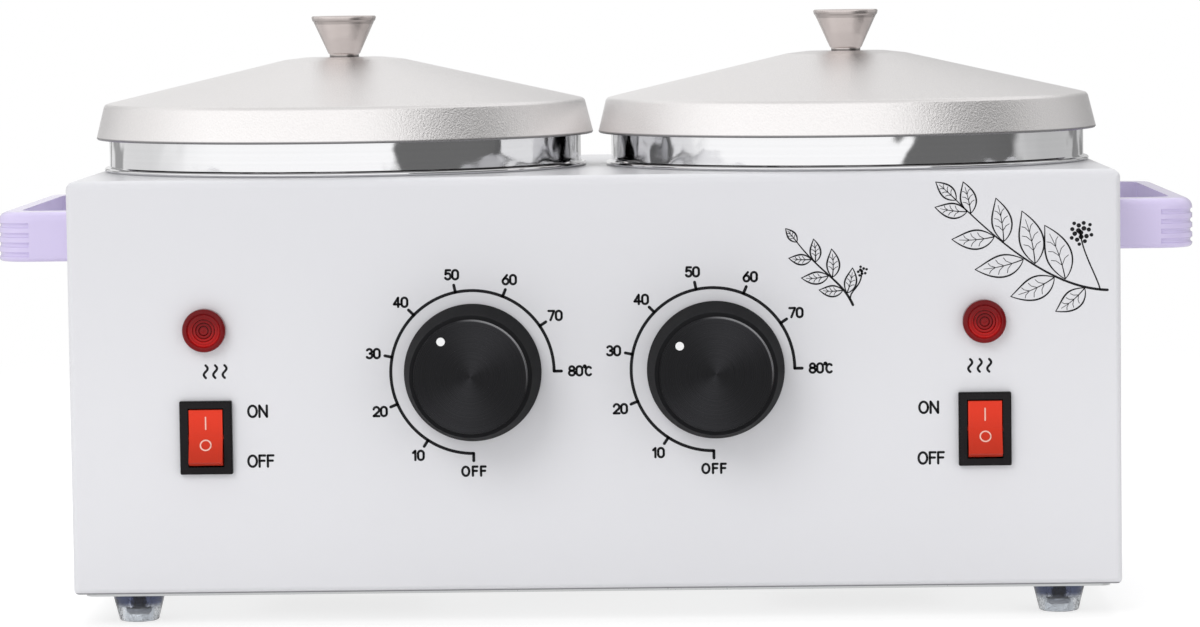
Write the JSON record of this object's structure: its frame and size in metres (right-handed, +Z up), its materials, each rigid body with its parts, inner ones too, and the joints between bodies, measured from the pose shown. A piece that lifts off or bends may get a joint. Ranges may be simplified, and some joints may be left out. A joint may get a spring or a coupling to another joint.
{
  "type": "double wax warmer",
  "caption": "Wax warmer with a folded white steel housing, lidded lift-out pots in heated wells, and a thermostat dial, indicator lamp and rocker switch for each pot.",
  "frame": {"origin": "centre of the bounding box in plan, on the surface that the feet stand on", "axes": "+X to the right along the front as seen by a user facing the dials, +Y from the front to the back, +Z up"},
  "size_m": [0.3474, 0.184, 0.1736],
  "materials": {
    "white_enamel": "glossy white powder coat",
    "zinc_steel": "bright zinc plating",
    "dark_steel": "dark phosphate",
    "clear_plastic": "clear moulded plastic, faintly blue",
    "lilac_plastic": "pale lilac, satin",
    "black_nylon": "moulded nylon",
    "polished_steel": "polished stainless steel",
    "spun_aluminium": "spun, with fine turning rings",
    "heater_steel": "heat-tinted steel sheath",
    "mineral_wool": "pale mineral wool",
    "thermostat_plastic": "moulded phenolic body on a steel plate",
    "copper": "drawn copper",
    "red_lens": "moulded clear red",
    "bulb_glass": "neon bulb",
    "black_gloss": "moulded, slightly glossy",
    "brass": "bright brass",
    "ivory_plastic": "moulded ivory plastic",
    "lead_sleeving": "woven glass sleeving, brown",
    "black_satin": "satin black",
    "black_aluminium": "black anodised, brushed round the centre",
    "white_mark": "white inlay",
    "red_gloss": "glossy red",
    "blasted_aluminium": "fine sand-blasted, matt",
    "satin_nickel": "satin nickel, slightly warm"
  },
  "bodies": {
    "base": {"housing": "white_enamel", "base_plate": "zinc_steel", "base_screws": "zinc_steel", "front_feet": "clear_plastic", "rear_feet": "clear_plastic", "foot_screws": "dark_steel", "foot_nuts": "zinc_steel", "left_handle": "lilac_plastic", "right_handle": "lilac_plastic", "handle_screws": "zinc_steel", "cord_gland": "black_nylon", "gland_nut": "black_nylon", "left_collar": "polished_steel", "right_collar": "polished_steel", "left_well": "spun_aluminium", "right_well": "spun_aluminium", "left_tie_rod": "zinc_steel", "right_tie_rod": "zinc_steel", "tie_rod_nuts": "zinc_steel", "left_heater_band": "heater_steel", "right_heater_band": "heater_steel", "left_insulation": "mineral_wool", "right_insulation": "mineral_wool", "left_thermostat": "thermostat_plastic", "right_thermostat": "thermostat_plastic", "thermostat_screws": "zinc_steel", "left_sensor": "copper", "right_sensor": "copper", "left_lamp_lens": "red_lens", "right_lamp_lens": "red_lens", "left_lamp_body": "black_nylon", "right_lamp_body": "black_nylon", "lamp_bulbs": "bulb_glass", "left_switch_frame": "black_gloss", "right_switch_frame": "black_gloss", "switch_terminals": "brass", "terminal_block": "ivory_plastic", "earth_stud": "brass", "left_leads": "lead_sleeving", "right_leads": "lead_sleeving"},
    "left_dial": {"left_dial_shaft": "zinc_steel", "left_dial_knob": "black_satin", "left_dial_cap": "black_aluminium", "left_dial_pointer": "white_mark"},
    "right_dial": {"right_dial_shaft": "zinc_steel", "right_dial_knob": "black_satin", "right_dial_cap": "black_aluminium", "right_dial_pointer": "white_mark"},
    "left_switch": {"left_rocker": "red_gloss"},
    "right_switch": {"right_rocker": "red_gloss"},
    "left_wax_pot": {"left_pot": "spun_aluminium"},
    "right_wax_pot": {"right_pot": "spun_aluminium"},
    "left_cover": {"left_lid": "blasted_aluminium", "left_lid_knob": "satin_nickel", "left_lid_screw": "zinc_steel"},
    "right_cover": {"right_lid": "blasted_aluminium", "right_lid_knob": "satin_nickel", "right_lid_screw": "zinc_steel"}
  },
  "joints": [
    {"name": "left_dial_turn", "type": "hinge", "parent": "base", "child": "left_dial", "pos_m": [-0.0346, -0.075, 0.0723], "axis": [0, 1, 0], "range_deg": [-140.7, 129.3]},
    {"name": "left_switch_rock", "type": "hinge", "parent": "base", "child": "left_switch", "pos_m": [-0.111, -0.0755, 0.0545], "axis": [1, 0, 0], "range_deg": [0, 22]},
    {"name": "left_pot_lift", "type": "slide", "parent": "base", "child": "left_wax_pot", "axis": [0, 0, 1], "range_m": [0, 0.12]},
    {"name": "left_lid_lift", "type": "slide", "parent": "left_wax_pot", "child": "left_cover", "axis": [0, 0, 1], "range_m": [0, 0.12]},
    {"name": "right_dial_turn", "type": "hinge", "parent": "base", "child": "right_dial", "pos_m": [0.0346, -0.075, 0.0723], "axis": [0, 1, 0], "range_deg": [-128.2, 141.8]},
    {"name": "right_switch_rock", "type": "hinge", "parent": "base", "child": "right_switch", "pos_m": [0.111, -0.0755, 0.0545], "axis": [1, 0, 0], "range_deg": [0, 22]},
    {"name": "right_pot_lift", "type": "slide", "parent": "base", "child": "right_wax_pot", "axis": [0, 0, 1], "range_m": [0, 0.12]},
    {"name": "right_lid_lift", "type": "slide", "parent": "right_wax_pot", "child": "right_cover", "axis": [0, 0, 1], "range_m": [0, 0.12]}
  ]
}
